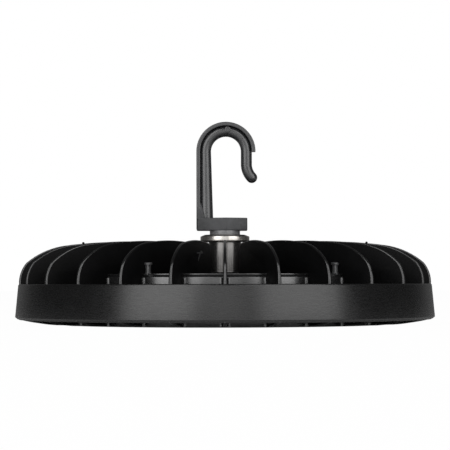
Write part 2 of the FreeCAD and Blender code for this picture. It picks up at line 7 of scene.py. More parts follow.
import bmesh
import bpy
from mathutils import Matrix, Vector

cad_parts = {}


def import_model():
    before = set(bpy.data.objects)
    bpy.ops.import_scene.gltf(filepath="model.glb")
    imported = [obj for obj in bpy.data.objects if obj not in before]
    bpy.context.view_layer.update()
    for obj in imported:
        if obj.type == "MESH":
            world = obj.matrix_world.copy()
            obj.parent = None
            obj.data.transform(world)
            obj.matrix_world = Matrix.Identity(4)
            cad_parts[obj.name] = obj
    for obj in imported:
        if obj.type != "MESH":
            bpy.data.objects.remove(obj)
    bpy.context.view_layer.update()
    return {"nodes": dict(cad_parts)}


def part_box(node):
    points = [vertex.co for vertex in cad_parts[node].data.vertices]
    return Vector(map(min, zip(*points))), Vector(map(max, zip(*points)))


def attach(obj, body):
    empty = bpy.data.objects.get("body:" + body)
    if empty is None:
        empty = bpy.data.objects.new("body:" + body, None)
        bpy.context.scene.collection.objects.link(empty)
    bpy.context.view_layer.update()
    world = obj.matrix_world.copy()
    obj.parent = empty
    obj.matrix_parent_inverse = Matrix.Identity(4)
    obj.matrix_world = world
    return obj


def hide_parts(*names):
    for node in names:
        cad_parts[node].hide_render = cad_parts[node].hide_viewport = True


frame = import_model()
NODES = frame["nodes"]
BODY = "root"
MM = 0.001
FRONT = math.radians(-90)
FULL_TURN = 2 * math.pi

# ---- casting ---------------------------------------------------------------------------
FIN_COUNT = 26
DRUM_R = 136.0 * MM
DRUM_H = 40.2 * MM
RIM_EDGE_H = 37.6 * MM               # where the drum's wall ends and its shoulder starts
SHOULDER_W = 3.6 * MM
DRUM_STEP = 0.6 * MM                 # step from the shoulder up to the drum's top
RECESS_R = 132.5 * MM
SEAT_Z = 14.5 * MM
SEAT_W = 3.5 * MM
CEILING_Z = 36.7 * MM
SKIRT_R = 170.0 * MM
SKIRT_TOP_R = 167.5 * MM
SKIRT_TOP_H = 32.5 * MM
SKIRT_TOP_ROUND = 2.2 * MM
SKIRT_FOOT_H = 6.0 * MM
SKIRT_WALL = 3.0 * MM
GROOVE_DEPTH = 2.0 * MM              # groove under the skirt's outer edge
LIP_H = 4.0 * MM
LIP_W = 1.2 * MM
BREAK = 0.2 * MM                     # small break on cast edges
BOSS_R = 13.2 * MM
BOSS_H = 66.6 * MM
BOSS_FILLET = 2.0 * MM
BORE_R = 5.25 * MM
FIN_INNER_R = 49.8 * MM
FIN_FOOT_R = 166.9 * MM
CROWN_H = 66.0 * MM
FIN_TOP_T = 1.6 * MM
FIN_MID_T = 3.1 * MM
FIN_BOTTOM_T = 2.8 * MM
FIN_ROUND = 0.9                      # the fins' rounded edges, as a share of half their thickness
FIN_SINK = 1.4 * MM                  # how far the fins are sunk into the drum
FIN_WALL_POINT = (DRUM_R - FIN_SINK, SKIRT_TOP_H)
FIN_FOOT_POINT = (FIN_FOOT_R, SKIRT_TOP_H - 0.5 * MM)
FLAT_FACE = 0.97                     # cosine to a fin's own normal above which a face is flat
FLARE_R = 2.6 * MM
POST_R = 2.2 * MM
POST_HEAD_R = 3.1 * MM
POST_HEAD_T = 2.0 * MM
POST_TOP = 48.7 * MM
POST_CIRCLE_R = 130.0 * MM
POST_PAIRS = 3
POST_TURN = 6.85                     # degrees from the front to the middle of the first pair
POST_HALF_ANGLE = 33.25              # degrees from a pair's middle to each of its posts
PIP_FINS = (5, -5)
PIP_CIRCLE_R = 120.0 * MM
TICK_FIN = -1                        # the first fin to the left of the front
TICK_BARS = [                        # start and end (radius, height) and half width, in mm
    ((77, 56.6), (94, 56.2), 0.45), ((84.5, 56.4), (91, 50.4), 0.7),
    ((79, 56.9), (82.5, 56.9), 1.0)]

# ---- hook and the rings under it -------------------------------------------------------
HOOK_LOW, HOOK_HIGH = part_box("hanging_hook")
EYE_X = 0.95 * MM
EYE_R = 12.2 * MM
BAR_R = 4.5 * MM
SHANK_FOOT_R = 5.6 * MM
SHANK_LEAN = 0.7 * MM                # the shank's foot stands this far towards the eye
RAIL_T = 3.2 * MM
RAIL_HALF = 5.8 * MM
RAIL_OVERLAP = 0.3 * MM              # how far the bar is sunk into the rail
RAIL_OUT = EYE_R + 2 * BAR_R - RAIL_OVERLAP + RAIL_T
EYE_Z = HOOK_HIGH.z - RAIL_OUT
BASE_BOTTOM = HOOK_LOW.z
BASE_TOP = BASE_BOTTOM + 10.0 * MM
BASE_CROWN = 0.4 * MM                # how far the base's top is raised above its nominal height
BASE_LEFT = -23.0 * MM
BASE_RIGHT = 18.3 * MM
BASE_PEAK = 1.2 * MM                 # X of the base's widest place
BASE_HALF = 12.0 * MM
BASE_END_HALF = 6.5 * MM
TIP_SIDE = 4.35 * MM
TIP_DROP = 10.8 * MM
NOSE_DROP = 10.4 * MM
BEND_STEPS = 32
TIP_STEPS = 12
PAD_RINGS = [                        # radius and Y of the mark on the bend, in mm
    (2.5, -3.6), (2.5, -4.7), (2.2, -4.95), (1.6, -4.95), (1.4, -4.6)]
CONE_R = 16.5 * MM                   # where the flange ring's cones meet its flat faces
CONE_TOP_H = 1.4 * MM
CONE_FOOT_H = 0.5 * MM

# ---- stage, light and camera -----------------------------------------------------------
WHITE = (1, 1, 1, 1)
AMBIENT = 0.05                       # strength of the surroundings for all but the camera
BACKDROP = 0.12                      # share of white that reflections find behind the object
BACKDROP_EDGE = 0.55                 # share of +Y in a direction at which the backdrop starts
BACKDROP_FULL = 0.90
FLOOR_SIZE = 14
FLOOR_Z = -0.2 * MM
FLOOR_GREY = (0.80, 0.80, 0.80, 1)
FLOOR_WHITE = 0.985                  # share of the floor's own white that the camera sees
FLOOR_SHINE = 0.3                    # share that reflections find on the floor ahead of the object
SHINE_START = -0.15
SHINE_FULL = -0.5
LAMP_AIM = Vector((0, 0, 0.05))
SOFTBOXES = [                        # name, azimuth, elevation, distance, width, height, watts
    ("left_box", -34, 11, 2.0, 1.40, 1.5, 15.2),
    ("right_box", 39.5, 11, 2.0, 1.62, 1.5, 15.5),
    ("front_box", 0, 11, 2.4, 0.9, 1.5, 4.6),
    ("left_high_box", -34, 45, 2.2, 1.4, 0.8, 9.5),
    ("right_high_box", 38, 45, 2.2, 1.5, 0.8, 9.5)]
SENSOR_MM = 36.0
VIEW_WIDTH = 0.3671                  # width in view at the object's axis
CAMERA_DISTANCE = 1.494
CAMERA_Z = 0.0327
VIEW_CENTRE_Z = 0.0805
CAMERA_ROLL = math.radians(0.11)


# ---- mesh helpers ----------------------------------------------------------------------
def mm(*numbers):
    return tuple(number * MM for number in numbers)


def polar(radius, angle):
    return radius * math.cos(angle), radius * math.sin(angle)


def fin_angle(index):
    return FRONT + FULL_TURN * index / FIN_COUNT


def add_object(name, bm, sharp=35):
    """Object with the mesh bm, smooth apart from edges sharper than the angle in degrees."""
    mesh = bpy.data.meshes.new(name)
    bmesh.ops.recalc_face_normals(bm, faces=bm.faces)
    bm.to_mesh(mesh)
    bm.free()
    for polygon in mesh.polygons:
        polygon.use_smooth = True
    mesh.set_sharp_from_angle(angle=math.radians(sharp))
    obj = bpy.data.objects.new(name, mesh)
    bpy.context.scene.collection.objects.link(obj)
    return obj


def dress(obj, material, *nodes):
    """Gives obj its material, puts it on the body, and lets it stand for the CAD nodes named."""
    obj.data.materials.clear()
    obj.data.materials.append(material)
    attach(obj, BODY)
    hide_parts(*nodes)
    return obj


def arc_points(a, b, c, steps):
    """Points on the circle through a, b and c, from a to c, both ends included."""
    d = 2 * (a[0] * (b[1] - c[1]) + b[0] * (c[1] - a[1]) + c[0] * (a[1] - b[1]))
    sa, sb, sc = (p[0] ** 2 + p[1] ** 2 for p in (a, b, c))
    cx = (sa * (b[1] - c[1]) + sb * (c[1] - a[1]) + sc * (a[1] - b[1])) / d
    cy = (sa * (c[0] - b[0]) + sb * (a[0] - c[0]) + sc * (b[0] - a[0])) / d
    start, middle, end = (math.atan2(p[1] - cy, p[0] - cx) for p in (a, b, c))
    turn = (end - start) % FULL_TURN
    if (middle - start) % FULL_TURN > turn:
        turn -= FULL_TURN
    radius = math.hypot(a[0] - cx, a[1] - cy)
    offsets = [polar(radius, start + turn * i / steps) for i in range(steps + 1)]
    return [(cx + x, cy + y) for x, y in offsets]


def rounded(points, radius, steps=4):
    """Closed outline with each corner rounded, by radius or by the corner's own third number."""
    result = []
    for i, point in enumerate(points):
        here = Vector(point[:2])
        want = point[2] if len(point) > 2 else radius
        before = Vector(points[i - 1][:2]) - here
        after = Vector(points[(i + 1) % len(points)][:2]) - here
        half = before.angle(after) / 2
        reach = min(want / math.tan(half), 0.45 * before.length, 0.45 * after.length)
        if want <= 0 or abs(half - math.pi / 2) < 0.02:
            result.append(tuple(here))
            continue
        start = here + before.normalized() * reach
        end = here + after.normalized() * reach
        for k in range(steps + 1):
            t = k / steps
            result.append(tuple(start * (1 - t) ** 2 + here * 2 * t * (1 - t) + end * t ** 2))
    return result


def loop_of(bm, points):
    return [bm.verts.new(point) for point in points]


def skin(bm, loops):
    """Walls of quads between neighbouring loops of vertices."""
    for near, far in zip(loops, loops[1:]):
        for i in range(len(near)):
            j = (i + 1) % len(near)
            bm.faces.new((near[i], near[j], far[j], far[i]))


def shell(bm, loops):
    """Closed shell: the walls between the loops, and a lid on the first and the last."""
    skin(bm, loops)
    bm.faces.new(loops[0])
    bm.faces.new(loops[-1])


def lathe(name, outline, segments):
    """Closed (radius, height) outline turned about the vertical axis."""
    bm = bmesh.new()
    loops = []
    for k in range(segments):
        a = FULL_TURN * k / segments
        loops.append(loop_of(bm, [polar(r, a) + (z,) for r, z in outline]))
    skin(bm, loops + loops[:1])
    return add_object(name, bm)


def turned_solid(name, outline, segments, at):
    """Closed solid from an open (radius, height) outline that starts and ends on the axis."""
    bm = bmesh.new()
    low = bm.verts.new((at[0], at[1], outline[0][1]))
    high = bm.verts.new((at[0], at[1], outline[-1][1]))
    middle = outline[1:-1]
    loops = []
    for k in range(segments):
        a = FULL_TURN * k / segments
        loops.append(loop_of(bm, [(at[0] + r * math.cos(a), at[1] + r * math.sin(a), z)
                                  for r, z in middle]))
    for near, far in zip(loops, loops[1:] + loops[:1]):
        bm.faces.new((low, far[0], near[0]))
        bm.faces.new((high, near[-1], far[-1]))
        for i in range(len(middle) - 1):
            bm.faces.new((near[i], far[i], far[i + 1], near[i + 1]))
    return add_object(name, bm)


def bar(name, centres, radii, segments=32):
    """Round bar of changing radius through centres, which lie in an XZ plane."""
    bm = bmesh.new()
    side = Vector((0, 1, 0))
    loops = []
    for i, centre in enumerate(centres):
        along = (centres[min(i + 1, len(centres) - 1)] - centres[max(i - 1, 0)]).normalized()
        out = along.cross(side).normalized()
        around = [polar(radii[i], FULL_TURN * k / segments) for k in range(segments)]
        loops.append(loop_of(bm, [centre + x * out + y * side for x, y in around]))
    shell(bm, loops)
    return add_object(name, bm, 50)


def join(name, objects):
    """One object from several, which keeps its meshes as closed shells."""
    bpy.ops.object.select_all(action="DESELECT")
    for obj in objects:
        obj.select_set(True)
    bpy.context.view_layer.objects.active = objects[0]
    bpy.ops.object.join()
    objects[0].name = name
    return objects[0]


def copies(obj, angles):
    """Copies of obj turned about the vertical axis, joined to it; obj keeps the first angle."""
    base = obj.data.copy()
    made = [obj]
    for angle in angles[1:]:
        twin = bpy.data.objects.new(obj.name, base.copy())
        bpy.context.scene.collection.objects.link(twin)
        twin.rotation_euler.z = angle
        made.append(twin)
    obj.rotation_euler.z = angles[0]
    bpy.context.view_layer.update()
    for item in made:
        item.data.transform(item.matrix_world)
        item.rotation_euler.z = 0
    return join(obj.name, made)


# ---- shader helpers --------------------------------------------------------------------
def node(tree, kind, inputs, operation=None):
    """New node; each input gets a link if its value is a socket, or else a fixed value."""
    made = tree.nodes.new(kind)
    if operation:
        made.operation = operation
    for socket, value in inputs.items():
        if isinstance(value, bpy.types.NodeSocket):
            tree.links.new(value, made.inputs[socket])
        else:
            made.inputs[socket].default_value = value
    return made


def combine(tree, operation, first, second):
    return node(tree, "ShaderNodeMath", {0: first, 1: second}, operation).outputs[0]


def axis(tree, system, name):
    """One coordinate (X, Y or Z) of the named coordinate system."""
    coordinates = tree.nodes.new("ShaderNodeTexCoord")
    parts = node(tree, "ShaderNodeSeparateXYZ", {"Vector": coordinates.outputs[system]})
    return parts.outputs[name]


def span(tree, value, start, stop, low=0.0, high=1.0, interpolation="SMOOTHSTEP"):
    """The value's range from start to stop turned into the range from low to high."""
    made = node(tree, "ShaderNodeMapRange", {
        "Value": value, "From Min": start, "From Max": stop, "To Min": low, "To Max": high})
    made.interpolation_type = interpolation
    return made.outputs["Result"]


def mix(tree, share, first, second):
    return node(tree, "ShaderNodeMixShader", {"Fac": share, 1: first, 2: second}).outputs[0]


def new_material(name):
    material = bpy.data.materials.new(name)
    material.use_nodes = True
    tree = material.node_tree
    return material, tree, tree.nodes["Principled BSDF"]


def noise(tree, scale, detail=3.0, stretch=(1, 1, 1)):
    """Noise over the piece's own coordinates; scale is in cells per metre."""
    coordinates = tree.nodes.new("ShaderNodeTexCoord")
    mapping = node(tree, "ShaderNodeMapping", {
        "Vector": coordinates.outputs["Object"], "Scale": stretch})
    made = node(tree, "ShaderNodeTexNoise", {
        "Vector": mapping.outputs["Vector"], "Scale": scale, "Detail": detail})
    return made.outputs["Fac"]


def ramp(tree, source, low, high, start=0.35, stop=0.65):
    """Colour ramp from low to high, each a grey number or a colour."""
    made = node(tree, "ShaderNodeValToRGB", {"Fac": source})
    elements = made.color_ramp.elements
    elements[0].position = start
    elements[1].position = stop
    for element, value in zip(elements, (low, high)):
        colour = (value,) * 3 if isinstance(value, float) else tuple(value)
        element.color = colour + (1.0,)
    return made.outputs["Color"]


def gloss(tree, shader, source, low, high):
    tree.links.new(ramp(tree, source, low, high, 0.3, 0.7), shader.inputs["Roughness"])


def bump(tree, shader, source, depth):
    made = node(tree, "ShaderNodeBump", {"Height": source, "Strength": 1.0, "Distance": depth})
    tree.links.new(made.outputs["Normal"], shader.inputs["Normal"])


def painted_height_shade(tree, colour, low, high, share):
    """The colour darkened towards the height low as painted shade, where only the given share of it
    is left.
    """
    height = span(tree, axis(tree, "Object", "Z"), low, high, share, 1.0, "LINEAR")
    made = node(tree, "ShaderNodeVectorMath", {0: colour, "Scale": height}, "SCALE")
    return made.outputs["Vector"]


# ---- materials -------------------------------------------------------------------------
def coated(name, dark, light, rough_low, rough_high, grain=1500.0, depth=0.00002, specular=0.5,
           stretch=(1, 1, 1)):
    """Sprayed coat or moulding: mottled colour, uneven gloss and a fine orange-peel grain."""
    material, tree, shader = new_material(name)
    mottle = noise(tree, scale=60.0, detail=4.0)
    tree.links.new(ramp(tree, mottle, dark, light), shader.inputs["Base Color"])
    fine = noise(tree, scale=grain, detail=4.0, stretch=stretch)
    gloss(tree, shader, fine, rough_low, rough_high)
    shader.inputs["Specular IOR Level"].default_value = specular
    bump(tree, shader, fine, depth)
    return material


def metal(name, dark, light, rough_low, rough_high, lines=1800.0, depth=0.00001,
          stretch=(1, 1, 12), painted_shade_span=None):
    """Turned or drawn metal: fine lines that change the colour and the gloss a little; a painted
    shade span also darkens the colour towards a height, as painted shade.
    """
    material, tree, shader = new_material(name)
    fine = noise(tree, scale=lines, stretch=stretch)
    colour = ramp(tree, noise(tree, scale=90.0), dark, light)
    if painted_shade_span:
        colour = painted_height_shade(tree, colour, *painted_shade_span)
    tree.links.new(colour, shader.inputs["Base Color"])
    gloss(tree, shader, fine, rough_low, rough_high)
    shader.inputs["Metallic"].default_value = 1.0
    bump(tree, shader, fine, depth)
    return material


def clear_plastic(name):
    """Clear moulded polycarbonate with faint flow marks."""
    material, tree, shader = new_material(name)
    flow = noise(tree, scale=45.0, detail=2.0)
    tree.links.new(ramp(tree, flow, 0.03, 0.09), shader.inputs["Roughness"])
    tint = ramp(tree, flow, (0.93, 0.95, 0.96), (0.98, 0.99, 1.0))
    tree.links.new(tint, shader.inputs["Base Color"])
    shader.inputs["Transmission Weight"].default_value = 1.0
    shader.inputs["IOR"].default_value = 1.58
    bump(tree, shader, flow, 0.00002)
    return material


POWDER = coated(
    "powder_coat", (0.0036, 0.0036, 0.0038), (0.0056, 0.0056, 0.0059), 0.24, 0.31,
    grain=170.0, depth=0.00003, specular=0.7, stretch=(1, 1, 6))
FIN_COAT = coated(
    "fin_coat", (0.0020, 0.0020, 0.0021), (0.0032, 0.0032, 0.0034), 0.50, 0.62,
    grain=900.0, depth=0.000015, specular=0.12)
EDGE_COAT = coated(
    "fin_edge_coat", (0.0040, 0.0040, 0.0042), (0.0060, 0.0060, 0.0063), 0.20, 0.27,
    grain=900.0, depth=0.000008, specular=0.9)
DRUM_COAT = coated(
    "drum_coat", (0.0070, 0.0070, 0.0072), (0.0100, 0.0100, 0.0104), 0.20, 0.27,
    grain=170.0, depth=0.000015, specular=1.4, stretch=(1, 1, 6))
# The boss's colour darkens towards its foot: painted shade, standing in for the shade among the fins.
BOSS_COAT = metal(
    "boss_coat", (0.150, 0.145, 0.141), (0.180, 0.175, 0.171), 0.21, 0.27,
    lines=500.0, depth=0.000001, stretch=(1, 1, 2), painted_shade_span=(43.0 * MM, 64.0 * MM, 0.45))
HOOK_COAT = coated(
    "hook_coat", (0.021, 0.0215, 0.023), (0.030, 0.031, 0.033), 0.23, 0.31,
    grain=1300.0, depth=0.000003, specular=1.0)
BASE_COAT = coated(
    "hook_base_coat", (0.018, 0.0185, 0.020), (0.055, 0.056, 0.060), 0.40, 0.62,
    grain=700.0, depth=0.00012, specular=0.6)
# Lighter copy of the casting's black coat for the posts and the tick mark: painted highlight for the
# light they catch.
CASTING_HIGHLIGHT_COAT = coated(
    "casting_painted_highlight", (0.055, 0.055, 0.057), (0.080, 0.080, 0.082), 0.30, 0.42,
    grain=900.0, depth=0.00001, specular=1.0)
COLLAR_STEEL = coated(
    "collar_steel", (0.11, 0.11, 0.113), (0.15, 0.15, 0.153), 0.30, 0.40,
    grain=900.0, depth=0.00001, specular=1.0, stretch=(1, 1, 12))
NICKEL = metal(
    "bright_nickel", (0.66, 0.63, 0.59), (0.70, 0.67, 0.63), 0.24, 0.30,
    lines=900.0, depth=0.000001)
ZINC = metal("zinc_steel", (0.50, 0.51, 0.53), (0.66, 0.67, 0.69), 0.22, 0.36)
ALUMINIUM = metal("bare_aluminium", (0.66, 0.67, 0.69), (0.78, 0.79, 0.80), 0.28, 0.42)
BRASS = metal("brass", (0.60, 0.44, 0.18), (0.72, 0.56, 0.27), 0.20, 0.34)
BLACK_NYLON = coated("black_nylon", (0.012, 0.012, 0.013), (0.02, 0.02, 0.021), 0.38, 0.52)
BLACK_RUBBER = coated("black_rubber", (0.010, 0.010, 0.010), (0.018, 0.018, 0.018), 0.65, 0.8)
WHITE_NYLON = coated("white_nylon", (0.74, 0.74, 0.71), (0.82, 0.82, 0.79), 0.4, 0.52)
WHITE_MASK = coated("white_solder_mask", (0.78, 0.78, 0.76), (0.85, 0.85, 0.83), 0.22, 0.34)
SILICONE = coated("white_silicone", (0.68, 0.68, 0.66), (0.76, 0.76, 0.74), 0.5, 0.65)
PHOSPHOR = coated("led_phosphor", (0.80, 0.56, 0.10), (0.88, 0.66, 0.16), 0.3, 0.42)
GREEN_BOARD = coated("green_board", (0.03, 0.16, 0.06), (0.05, 0.22, 0.09), 0.28, 0.4)
FERRITE = coated("ferrite", (0.035, 0.035, 0.036), (0.06, 0.06, 0.062), 0.6, 0.75)
SLEEVE = coated("black_sleeve", (0.014, 0.014, 0.022), (0.024, 0.024, 0.034), 0.25, 0.35)
CLEAR = clear_plastic("clear_polycarbonate")

CAD_FINISH = {
    "hub_seal": BLACK_RUBBER, "hook_bolt": ZINC, "hook_bolt_washer": ZINC,
    "led_plate": ALUMINIUM, "led_plate_screws": ZINC, "led_board": WHITE_MASK,
    "led_board_screws": ZINC, "led_chips": PHOSPHOR, "led_feed_connector": WHITE_NYLON,
    "lens_plate": CLEAR, "lens_gasket": SILICONE, "lens_frame": POWDER,
    "lens_frame_screws": ZINC, "driver_board": GREEN_BOARD, "driver_cover": WHITE_NYLON,
    "driver_screws": ZINC, "driver_transformer": FERRITE, "driver_choke": FERRITE,
    "driver_inductor": FERRITE, "driver_capacitors": SLEEVE, "driver_transistor": ALUMINIUM,
    "terminal_block": WHITE_NYLON, "earth_screw": BRASS, "gland_washer": BLACK_RUBBER,
    "gland_body": BLACK_NYLON, "gland_seal": BLACK_RUBBER, "gland_cap": BLACK_NYLON,
    "gland_locknut": BLACK_NYLON, "breather_vent": BLACK_NYLON, "heat_sink": POWDER,
    "hanging_hook": HOOK_COAT, "hook_collar": COLLAR_STEEL, "hub_flange": NICKEL}


def finish_cad_nodes():
    for name, material in CAD_FINISH.items():
        data = NODES[name].data
        data.materials.clear()
        data.materials.append(material)


# ---- casting pieces --------------------------------------------------------------------
def skirt():
    foot_in = SKIRT_R - SKIRT_WALL
    groove_r = SKIRT_R - GROOVE_DEPTH
    groove_h = SKIRT_FOOT_H - 1.0 * MM
    outline = [
        (SKIRT_TOP_R - SKIRT_WALL, SKIRT_TOP_H, 0.4 * MM),
        (SKIRT_TOP_R, SKIRT_TOP_H, SKIRT_TOP_ROUND),
        (SKIRT_R, SKIRT_FOOT_H, 0.5 * MM), (groove_r + 0.7 * MM, groove_h, BREAK),
        (groove_r, groove_h, 0), (groove_r, LIP_H + 0.6 * MM, BREAK), (foot_in, LIP_H, BREAK),
        (foot_in - LIP_W, LIP_H, BREAK), (foot_in, SKIRT_FOOT_H, BREAK)]
    return dress(lathe("casting_skirt", rounded(outline, 0), 720), POWDER, "heat_sink")


def drum():
    top_r = DRUM_R - SHOULDER_W
    bay_r = RECESS_R - SEAT_W
    hub_r = BOSS_R - 1.0 * MM
    outline = [
        (RECESS_R, 0, 0.3 * MM), (DRUM_R, 0, 0.5 * MM), (DRUM_R, RIM_EDGE_H, 0.8 * MM),
        (top_r, DRUM_H - DRUM_STEP, 0.1 * MM), (top_r, DRUM_H, BREAK), (hub_r, DRUM_H),
        (hub_r, CEILING_Z), (bay_r, CEILING_Z), (bay_r, SEAT_Z), (RECESS_R, SEAT_Z)]
    return dress(lathe("casting_drum", rounded(outline, 0), 360), DRUM_COAT, "heat_sink")


def boss():
    foot_r = BOSS_R + BOSS_FILLET
    sunk = CEILING_Z + 1.0 * MM
    outline = [
        (BORE_R, BOSS_H), (BOSS_R, BOSS_H, 0.5 * MM), (BOSS_R, DRUM_H + BOSS_FILLET, BOSS_FILLET),
        (foot_r, DRUM_H), (foot_r, sunk), (BORE_R, sunk)]
    return dress(lathe("casting_boss", rounded(outline, 0), 128), BOSS_COAT, "heat_sink")


def nearest(points, wanted):
    """Index of the point that lies nearest to the wanted one."""
    return min(range(len(points)), key=lambda i: math.dist(points[i], wanted))


def fin_outline():
    """Outline of one fin as (radius, height), from its inner foot round its belly and its crown."""
    in_wall = FIN_WALL_POINT[0]
    in_plate = DRUM_H - FIN_SINK
    inner_top = (FIN_INNER_R, 55.0 * MM)
    corner_top = mm(59.0, 65.0)
    crown_end = mm(126.0, 64.0)
    cheek = mm(161.0, 49.7)
    skirt_foot = (168.5 * MM, LIP_H + 0.6 * MM)
    points = arc_points(inner_top, mm(52.0, 62.6), corner_top, 8)
    points += arc_points(corner_top, (97.0 * MM, CROWN_H), crown_end, 16)[1:]
    points += arc_points(crown_end, mm(147.0, 58.6), cheek, 10)[1:]
    points += arc_points(cheek, (FIN_FOOT_R - 1.1 * MM, 41.1 * MM), FIN_FOOT_POINT, 8)[1:]
    points += arc_points(skirt_foot, mm(155.25, 1.7), mm(142.0, 0.2), 8)
    points += [(in_wall, 0.0), FIN_WALL_POINT, (in_wall, in_plate), (FIN_INNER_R, in_plate)]
    return list(reversed(points))


def fin_half_thickness(z):
    if z < SKIRT_TOP_H:
        low, high, share = FIN_BOTTOM_T, FIN_MID_T, z / SKIRT_TOP_H
    else:
        low, high = FIN_MID_T, FIN_TOP_T
        share = (z - SKIRT_TOP_H) / (CROWN_H - SKIRT_TOP_H)
    return 0.5 * (low + (high - low) * share)


def inset(points, distances):
    """Outline whose points are moved towards its inside, each by its own distance."""
    moved = []
    for i, distance in enumerate(distances):
        here = Vector(points[i])
        before = here - Vector(points[i - 1])
        after = Vector(points[(i + 1) % len(points)]) - here
        normals = [Vector((-edge.y, edge.x)).normalized() for edge in (before, after)]
        mitre = (normals[0] + normals[1]).normalized()
        moved.append(here + mitre * distance / max(mitre.dot(normals[0]), 0.5))
    return moved


def one_fin():
    """Drafted fin along +X, its edges rounded; each flat face is split where it meets the skirt."""
    outline = fin_outline()
    bm = bmesh.new()
    halves = []
    for side in (-1, 1):
        rows = []
        for angle in (-90, -60, -30, 0):
            a = math.radians(angle)
            inner = inset(outline, [FIN_ROUND * fin_half_thickness(z) * (1 - math.cos(a))
                                    for _, z in outline])
            share = 1 - FIN_ROUND - FIN_ROUND * math.sin(a)
            rows.append(loop_of(bm, [(r, side * fin_half_thickness(plan_z) * share, z)
                                     for (r, z), (_, plan_z) in zip(inner, outline)]))
        halves.append(rows)
    left, right = halves
    skin(bm, left + right[::-1])
    wall, foot = nearest(outline, FIN_WALL_POINT), nearest(outline, FIN_FOOT_POINT)
    for row in (left[0], right[0]):
        face = bm.faces.new(row)
        bmesh.utils.face_split(face, row[wall], row[foot])
    return add_object("casting_fins", bm, 40)


def fins():
    """All the fins, with the glossier edge coat on everything but their flat faces."""
    angles = [fin_angle(i) for i in range(FIN_COUNT)]
    plates = dress(copies(one_fin(), angles), FIN_COAT, "heat_sink")
    plates.data.materials.append(EDGE_COAT)
    for polygon in plates.data.polygons:
        across = Vector((-polygon.center.y, polygon.center.x, 0)).normalized()
        polygon.material_index = int(abs(polygon.normal.dot(across)) < FLAT_FACE)
    return plates


def root_flares():
    """Cast fillets in the corners between the drum's wall and both faces of each fin."""
    bm = bmesh.new()
    steps = 6
    in_wall = DRUM_R - 0.5 * MM
    face_y = 0.5 * FIN_BOTTOM_T
    in_fin = face_y - 0.3 * MM
    far_r, far_y = DRUM_R + FLARE_R, face_y + FLARE_R
    plan = [(in_wall, in_fin), (far_r, in_fin)]
    for k in range(steps + 1):
        x, y = polar(FLARE_R, math.radians(-90 - 90 * k / steps))
        plan.append((far_r + x, far_y + y))
    plan.append((in_wall, far_y))
    for side in (-1, 1):
        shell(bm, [loop_of(bm, [(x, side * y, z) for x, y in plan])
                   for z in (0.3 * MM, RIM_EDGE_H - 0.5 * MM)])
    flare = add_object("casting_root_flares", bm, 40)
    angles = [fin_angle(i) for i in range(FIN_COUNT)]
    return dress(copies(flare, angles), DRUM_COAT, "heat_sink")


def posts():
    """Headed posts on the drum, in three pairs."""
    foot = DRUM_H - 1.0 * MM
    foot_r = POST_R + 0.5 * MM
    under = POST_TOP - POST_HEAD_T
    outline = [
        (0, foot), (foot_r, foot), (foot_r, DRUM_H + 0.1 * MM), (POST_R, DRUM_H + 0.8 * MM),
        (POST_R, under), (POST_HEAD_R - 0.3 * MM, under), (POST_HEAD_R, under + 0.3 * MM),
        (POST_HEAD_R, POST_TOP - 0.5 * MM), (POST_HEAD_R - 0.5 * MM, POST_TOP), (0, POST_TOP)]
    made = []
    for pair in range(POST_PAIRS):
        middle = POST_TURN + 360 / POST_PAIRS * pair
        for half in (-POST_HALF_ANGLE, POST_HALF_ANGLE):
            at = polar(POST_CIRCLE_R, FRONT + math.radians(middle + half))
            made.append(turned_solid("casting_post", outline, 24, at))
    # The posts get the lighter coat: painted highlight.
    return dress(join("casting_posts", made), CASTING_HIGHLIGHT_COAT, "heat_sink")


def pips():
    """Ejector pips on two fins' crowns."""
    z = CROWN_H - 2.0 * MM
    outline = [(0, z), (1.1 * MM, z), (0.9 * MM, z + 1.4 * MM), (0.5 * MM, z + 1.8 * MM),
               (0, z + 1.8 * MM)]
    made = [turned_solid("pip", outline, 16, polar(PIP_CIRCLE_R, fin_angle(index)))
            for index in PIP_FINS]
    return dress(join("casting_pips", made), FIN_COAT, "heat_sink")


def tick():
    """Raised tick-shaped mark on one fin's face."""
    bm = bmesh.new()
    face, thick = 0.55 * MM, 0.9 * MM
    for (r0, z0), (r1, z1), half in TICK_BARS:
        start, end = Vector((r0, 0, z0)) * MM, Vector((r1, 0, z1)) * MM
        across = (end - start).normalized().cross(Vector((0, 1, 0))) * half * MM
        corners = (start - across, end - across, end + across, start + across)
        shell(bm, [loop_of(bm, [corner + Vector((0, y, 0)) for corner in corners])
                   for y in (face, face + thick)])
    mark = add_object("casting_tick", bm, 40)
    # The tick mark gets the lighter coat: painted highlight.
    return dress(copies(mark, [fin_angle(TICK_FIN)]), CASTING_HIGHLIGHT_COAT, "heat_sink")


# ---- hook pieces -----------------------------------------------------------------------
def hook_path():
    """Centre line of the hook's bar in XZ, from inside the base to the centre of the round tip."""
    mean = EYE_R + BAR_R
    foot_z = BASE_TOP - 4 * MM
    points = [Vector((EYE_X - mean + SHANK_LEAN * (EYE_Z - z) / (EYE_Z - foot_z), 0, z))
              for z in (foot_z, BASE_TOP + 10 * MM, EYE_Z - 15 * MM)]
    for k in range(BEND_STEPS + 1):
        x, z = polar(mean, math.pi - math.pi * k / BEND_STEPS)
        points.append(Vector((EYE_X + x, 0, EYE_Z + z)))
    nose_x, nose_z = EYE_X + mean, EYE_Z - NOSE_DROP
    points.append(Vector((nose_x, 0, EYE_Z - 0.5 * NOSE_DROP)))
    turn = 2 * math.atan2(TIP_SIDE, TIP_DROP)
    radius = TIP_DROP / math.sin(turn)
    for k in range(TIP_STEPS + 1):
        x, z = polar(radius, turn * k / TIP_STEPS)
        points.append(Vector((nose_x + radius - x, 0, nose_z - z)))
    return points


